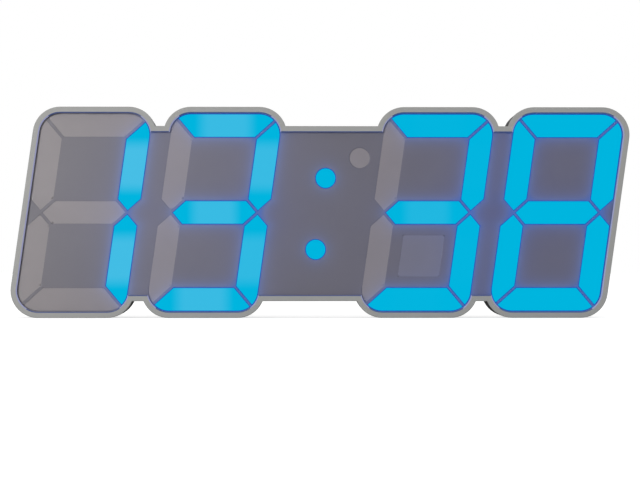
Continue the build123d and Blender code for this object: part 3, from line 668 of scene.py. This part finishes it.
def fill_pocket(part):
    """Widens a diffuser until it all but fills its pocket, so that no dark line is left round it."""
    out = {}
    for vertex in part.verts:
        walls = [face.normal for face in vertex.link_faces if abs(face.normal.y) < wall_facing]
        total = sum(walls, Vector())
        if total.length:
            outward = total.normalized()
            out[vertex] = outward * pocket_fill / max(outward.dot(walls[0]), least_cosine)
    for vertex, move in out.items():
        vertex.co += move


def round_edge(part):
    """Eases the front edge of a diffuser."""
    faces = front_faces(part)
    rim = bmesh.ops.inset_region(part, faces=faces, thickness=edge_width, depth=0.0)["faces"]
    inner = {vertex for face in faces for vertex in face.verts}
    outer = {vertex for face in rim for vertex in face.verts} - inner
    for vertex in outer:
        vertex.co.y += edge_drop


def mark_rings(part, outlines):
    """Gives the baffle's front a narrow ring of its own material, with a painted glow, right round every
    lit diffuser.
    """
    rim = bmesh.ops.inset_region(part, faces=front_faces(part), thickness=ring_width, depth=0.0)["faces"]
    places = np.array([face.calc_center_median() for face in rim])[:, [0, 2]]
    away = np.min([distance_to(outline, places) for outline, share in outlines], axis=0)
    for face, distance in zip(rim, away):
        face.material_index = 1 if distance < ring_width else 0


def segment_letter(offset_x, offset_z, height):
    """Which of the seven bars lies at that offset from the middle of its digit."""
    level = offset_z / height
    if abs(offset_x) < height * middle_share:
        return "a" if level > level_share else "d" if level < -level_share else "g"
    if offset_x > 0:
        return "b" if level > 0 else "c"
    return "f" if level > 0 else "e"


def outline_of(part):
    """The front outline of a bmesh as (x, z) points in order."""
    face = max(front_faces(part), key=lambda found: found.calc_area())
    return np.array([(vertex.co.x, vertex.co.z) for vertex in face.verts])


def distance_to(outline, places):
    """How far each place is from a closed outline, and 0 inside it."""
    nearest = np.full(len(places), np.inf)
    inside = np.zeros(len(places), bool)
    for start, end in zip(outline, np.roll(outline, -1, axis=0)):
        run = end - start
        share = np.clip(((places - start) @ run) / (run @ run), 0, 1)
        nearest = np.minimum(nearest, np.linalg.norm(places - start - share[:, None] * run, axis=1))
        crosses = (start[1] > places[:, 1]) != (end[1] > places[:, 1])
        rise = run[1] if run[1] else 1.0
        inside ^= crosses & (places[:, 0] < start[0] + (places[:, 1] - start[1]) * run[0] / rise)
    return np.where(inside, 0.0, nearest)


def make_fine(part):
    """Splits the front of a bmesh finely enough to carry the glow of the lit bars."""
    for _ in range(halo_splits):
        edges = {edge for face in front_faces(part) for edge in face.edges}
        edges = [edge for edge in edges if edge.calc_length() > halo_grid]
        if not edges:
            break
        bmesh.ops.subdivide_edges(part, edges=edges, cuts=1)
        bmesh.ops.triangulate(part, faces=[face for face in part.faces if len(face.verts) > 3])


def add_glow(piece, outlines):
    """Writes on each vertex how strongly the painted glow of the lit bars around it shows there, near by
    and far off.
    """
    places = np.array([vertex.co for vertex in piece.data.vertices])
    behind = depth_counts * (places[:, 1] - places[:, 1].min())
    away = [(distance_to(outline, places[:, [0, 2]]) + behind, share) for outline, share in outlines]
    for name, reach in (("halo", halo_reach), ("haze", haze_reach)):
        strength = sum(share * np.exp(-distance / reach) for distance, share in away)
        if name == "halo":
            strength = np.minimum(strength, halo_most)
        attribute = piece.data.attributes.new(name, "FLOAT", "POINT")
        attribute.data.foreach_set("value", strength.astype(np.float32))


def make_digit(digit, body, dark):
    """The seven diffusers of a digit, each a piece of its own. Returns the outlines of the lit ones,
    each with its share of the glow, and the unlit pieces."""
    nodes = [f"{digit}_{state}_bars" for state in ("lit", "dark")]
    nodes = [node for node in nodes if node in frame["nodes"]]
    corners = [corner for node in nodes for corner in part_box(node)]
    low = Vector(map(min, *corners))
    high = Vector(map(max, *corners))
    middle = (low + high) / 2
    outlines = []
    unlit_pieces = []
    for node in nodes:
        for part in islands(node):
            place = centre_of(part)
            shift = place.x - middle.x - (place.z - middle.z) * slant
            letter = segment_letter(shift, place.z - middle.z, high.z - low.z)
            name = f"{digit}_segment_{letter}"
            fill_pocket(part)
            if "_lit_" in node:
                outlines.append((outline_of(part), 1.0))
                round_edge(part)
                strength = pale_strengths.get(name, pale_strengths[digit])
                face = lit_face(name, strength, letter not in level_letters)
                piece = add_piece(name, part, [face], body)
            else:
                make_fine(part)
                piece = add_piece(name, part, [dark], body)
                unlit_pieces.append(piece)
            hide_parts(node)
    return outlines, unlit_pieces


def make_colon(body, materials):
    """The two lit dots, each a piece of its own. Returns their outlines with their share of the glow."""
    outlines = []
    for part in sorted(islands("colon_dots"), key=lambda found: centre_of(found).z):
        fill_pocket(part)
        outlines.append((outline_of(part), dot_glow_share))
        round_edge(part)
        piece = add_piece(f"colon_dot_{len(outlines)}", part, materials, body)
        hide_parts("colon_dots")
    return outlines


def make_under_lens(node, name, materials, outlines, body):
    """One unlit piece under the lens, with a front fine enough to carry the glow of the lit bars."""
    (part,) = islands(node)
    if len(materials) > 1:
        mark_rings(part, outlines)
    else:
        fill_pocket(part)
    make_fine(part)
    piece = add_piece(name, part, materials, body)
    add_glow(piece, outlines)
    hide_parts(node)


def make_lens(body):
    """The lens sheet, a hair thinner so that it doesn't touch what lies behind it."""
    (part,) = islands("front_panel")
    back = max(vertex.co.y for vertex in part.verts)
    for vertex in part.verts:
        if vertex.co.y > back - same_depth:
            vertex.co.y -= lens_gap
    piece = add_piece("lens_sheet", part, [smoked_lens()], body)
    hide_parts("front_panel")


def make_bezel(body, side_material):
    """The grey rim: its inner bevel is painted darker as shade, with a painted blue glow of the bars on
    the top and bottom bevels and a painted lavender highlight on the side bevels, and its sides are black.
    """
    (part,) = islands("front_bezel")
    front = min(vertex.co.y for vertex in part.verts)
    for face in part.faces:
        depth = max(vertex.co.y for vertex in face.verts) - front
        if rim_bevel_least < depth < rim_bevel_depth and face.normal.y < side_facing:
            face.material_index = 2 if abs(face.normal.x) > side_facing else 1
        elif depth > rim_bevel_depth and abs(face.normal.y) < wall_facing:
            face.material_index = 3
        else:
            face.material_index = 0
    materials = [
        moulded("bezel_grey", bezel_colour, rim_roughness, spread=rim_spread, gloss=rim_gloss),
        painted_shade_and_light_bevel("bezel_bevel_painted_shade_and_glow", bevel_painted_glow_colour),
        painted_shade_and_light_bevel("bezel_side_bevel_painted_shade_and_highlight", side_bevel_painted_highlight_colour),
        side_material,
    ]
    piece = add_piece("bezel_rim", part, materials, body)
    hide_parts("front_bezel")


def dress(names, material):
    """Gives CAD nodes their material."""
    for name in names:
        mesh = frame["nodes"][name].data
        mesh.materials.clear()
        mesh.materials.append(material)


def make_floor():
    """A pale floor whose far edge is out of sight."""
    shape = bmesh.new()
    bmesh.ops.create_circle(shape, cap_ends=True, radius=floor_reach, segments=floor_segments)
    mesh = bpy.data.meshes.new("floor")
    shape.to_mesh(mesh)
    shape.free()
    mesh.materials.append(floor_material())
    floor = bpy.data.objects.new("floor", mesh)
    floor.location.z = cad_box[0].z
    bpy.context.scene.collection.objects.link(floor)


def make_softbox(name, place, size, power, target):
    """A square softbox that faces the clock."""
    light = bpy.data.lights.new(name, "AREA")
    light.shape = "SQUARE"
    light.size = size
    light.energy = power
    lamp = bpy.data.objects.new(name, light)
    lamp.location = place
    lamp.rotation_euler = (target - Vector(place)).to_track_quat("-Z", "Y").to_euler()
    bpy.context.scene.collection.objects.link(lamp)


def make_room():
    """An even pale room, white where it is seen, mirrored or seen through glass."""
    world = bpy.data.worlds.new("room")
    world.use_nodes = True
    nodes = world.node_tree.nodes
    links = world.node_tree.links
    rays = nodes.new("ShaderNodeLightPath")
    seen = nodes.new("ShaderNodeMath")
    seen.operation = "MAXIMUM"
    links.new(rays.outputs["Is Camera Ray"], seen.inputs[0])
    links.new(rays.outputs["Is Transmission Ray"], seen.inputs[1])
    shown = nodes.new("ShaderNodeMath")
    shown.operation = "MAXIMUM"
    links.new(seen.outputs["Value"], shown.inputs[0])
    links.new(rays.outputs["Is Glossy Ray"], shown.inputs[1])
    strength = nodes.new("ShaderNodeMapRange")
    strength.inputs["To Min"].default_value = room_strength
    strength.inputs["To Max"].default_value = seen_strength
    links.new(shown.outputs["Value"], strength.inputs["Value"])
    background = nodes["Background"]
    background.inputs["Color"].default_value = white
    links.new(strength.outputs["Result"], background.inputs["Strength"])
    bpy.context.scene.world = world


def make_camera():
    """The camera of the photograph."""
    data = bpy.data.cameras.new("camera")
    data.sensor_fit = "HORIZONTAL"
    data.angle = field_of_view
    data.clip_start = camera_near
    data.clip_end = camera_far
    widest = 2 * math.tan(field_of_view / 2)
    data.shift_x = ((aim_across - camera_across) / camera_distance - math.tan(camera_turn)) / widest
    data.shift_y = ((aim_height - camera_height) / camera_distance - math.tan(camera_lift)) / widest
    camera = bpy.data.objects.new("camera", data)
    camera.location = (camera_across, cad_front - camera_distance, camera_height)
    camera.rotation_euler = (math.pi / 2 + camera_lift, 0.0, -camera_turn)
    bpy.context.scene.collection.objects.link(camera)
    bpy.context.scene.camera = camera


cad_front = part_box("front_bezel")[0].y
home_body = frame["nodes"]["front_bezel"]["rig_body"]
unlit = behind_lens("unlit_diffuser", unlit_colour)
cover = moulded(
    "cover_black", cover_colour, cover_roughness, grain=cover_grain, depth=cover_depth, gloss=cover_gloss
)
window_film = behind_lens("window_film", window_colour)
baffle_grey = behind_lens("baffle_grey", panel_colour)

lit_outlines = make_colon(home_body, [lit_face("colon_face", 0.0, True)])
dark_pieces = []
for digit_name in digit_names:
    found_outlines, found_pieces = make_digit(digit_name, home_body, unlit)
    lit_outlines += found_outlines
    dark_pieces += found_pieces
for dark_piece in dark_pieces:
    add_glow(dark_piece, lit_outlines)
make_under_lens("alarm_dot", "alarm_dot_face", [unlit], lit_outlines, home_body)
make_under_lens("sensor_window", "sensor_film", [window_film], lit_outlines, home_body)
baffle_materials = [baffle_grey, painted_glow_ring()]
make_under_lens(
    "light_baffle", "light_baffle_front", baffle_materials, lit_outlines, home_body
)
make_lens(home_body)
make_bezel(home_body, cover)

button = moulded("button_grey", button_colour, button_roughness)
rubber = moulded("rubber", rubber_colour, rubber_roughness, gloss=rubber_gloss)
steel = metal("steel", steel_colour, steel_roughness)
nickel = metal("nickel", nickel_colour, nickel_roughness)
plunger = moulded("plunger", dark_moulding_colour, plunger_roughness)
dark_moulding = moulded("dark_moulding", dark_moulding_colour, moulding_roughness)
chip = moulded("chip", chip_colour, chip_roughness)
uses = ("set", "up", "down", "alarm")
sides = ("left", "right")

dress(["rear_cover", "battery_door"] + [f"stand_foot_{side}" for side in sides], cover)
dress([f"{use}_button" for use in uses], button)
dress([f"{use}_plunger" for use in uses], plunger)
dress(["base_pads"] + [f"foot_tip_pad_{side}" for side in sides], rubber)
dress(["case_screws", "board_screws", "battery_door_screw"], steel)
dress([f"foot_hinge_pin_{side}" for side in sides], steel)
dress(["usb_socket", "cell_clip", "clock_crystal", "coin_cell"], nickel)
dress(["main_board"], circuit_board())
dress(["segment_lamps"], lamp_plastic())
dress(["cell_holder"], moulded("holder", white_moulding_colour, moulding_roughness))
dress(["usb_contact_tongue", "switch_bodies", "buzzer"], dark_moulding)
dress(["microcontroller", "led_drivers", "ir_receiver", "light_sensor"], chip)
dress(["power_capacitors"], moulded("capacitor_sleeve", capacitor_colour, capacitor_roughness))
dress(["chip_resistors"], moulded("resistor", resistor_colour, resistor_roughness))
dress(["temperature_sensor"], moulded("bead_resin", bead_colour, bead_roughness))

make_floor()
make_room()
aim = Vector((0.0, cad_front, aim_height))
make_softbox("key_softbox", key_place, key_size, key_power, aim)
make_softbox("back_softbox", back_place, back_size, back_power, aim)
make_camera()
bpy.context.scene.view_settings.view_transform = "Standard"
